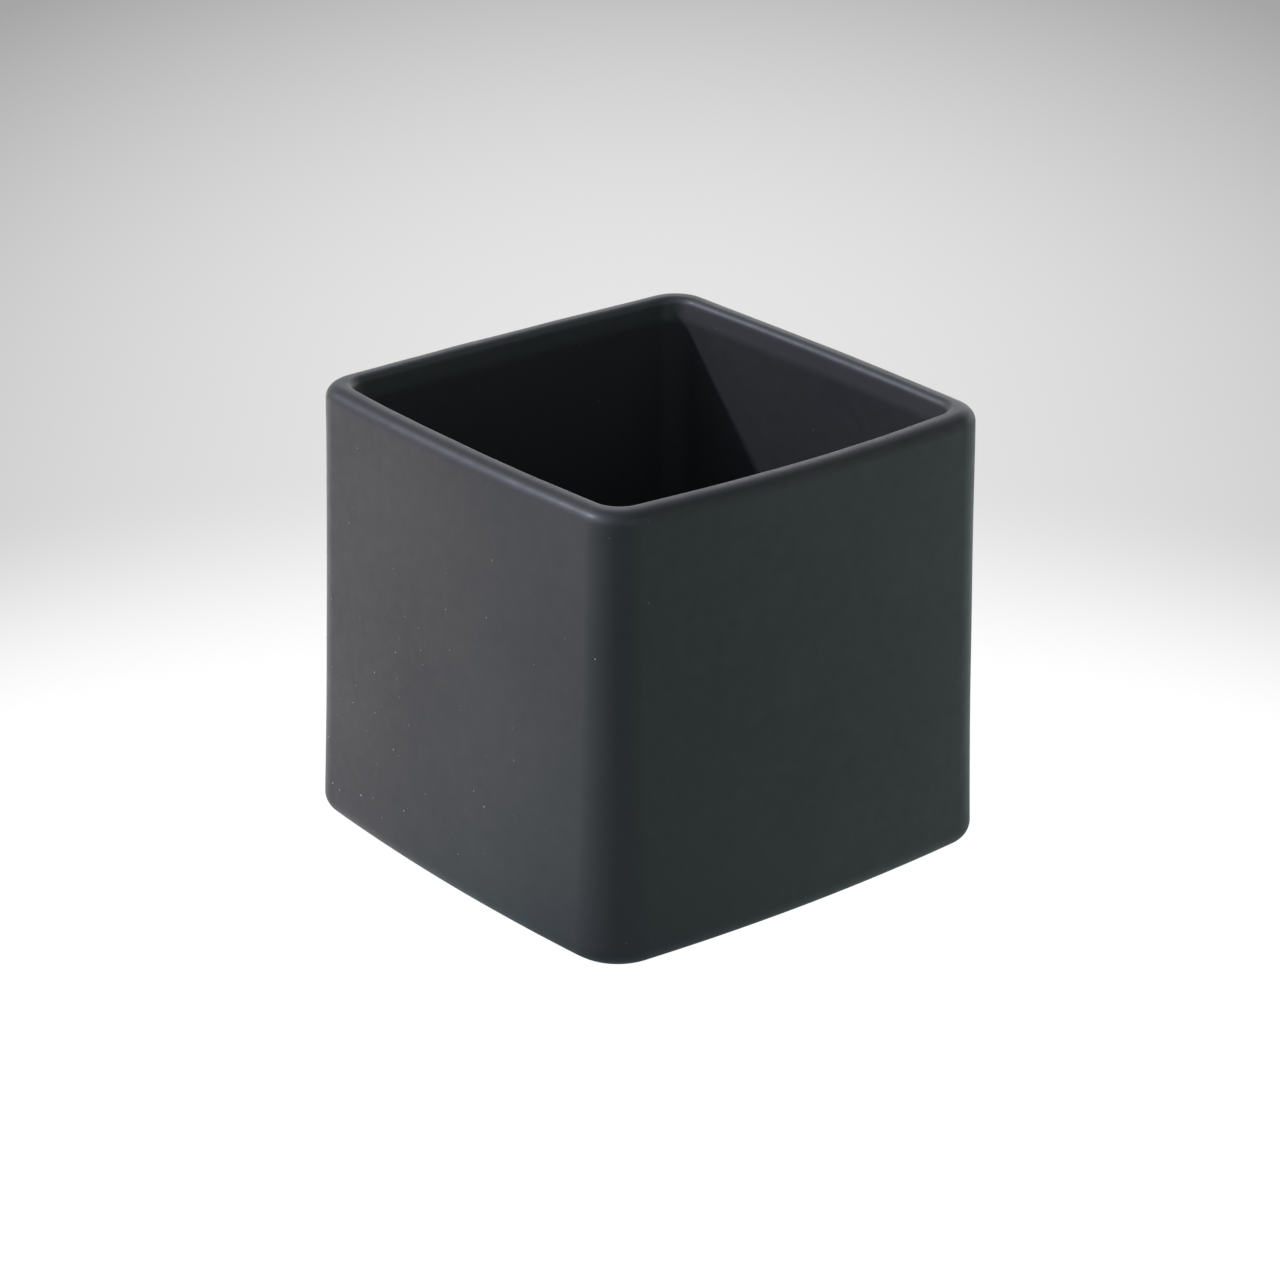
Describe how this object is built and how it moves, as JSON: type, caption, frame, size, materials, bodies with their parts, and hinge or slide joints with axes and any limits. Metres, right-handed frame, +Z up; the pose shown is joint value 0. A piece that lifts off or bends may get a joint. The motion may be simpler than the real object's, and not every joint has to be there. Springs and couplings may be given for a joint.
{
  "type": "candle vessel",
  "caption": "Square open ceramic vessel with softly rounded corners and rim, for holding poured candle wax; satin dark glaze, dry foot.",
  "frame": {"origin": "centre of the footprint, on the plane the vessel stands on", "axes": "+Z up through the middle of the open mouth, X and Y square to the four sides"},
  "size_m": [0.0793, 0.0791, 0.0724],
  "materials": {
    "clay_body": "fired clay, dry and matt",
    "outer_glaze": "satin matt charcoal glaze with fine pinholes",
    "inner_glaze": "satin matt charcoal liner glaze",
    "recess_glaze": "satin matt charcoal glaze"
  },
  "bodies": {
    "root": {"ceramic_body": "clay_body", "outer_glaze": "outer_glaze", "inner_glaze": "inner_glaze", "recess_glaze": "recess_glaze"}
  },
  "joints": []
}
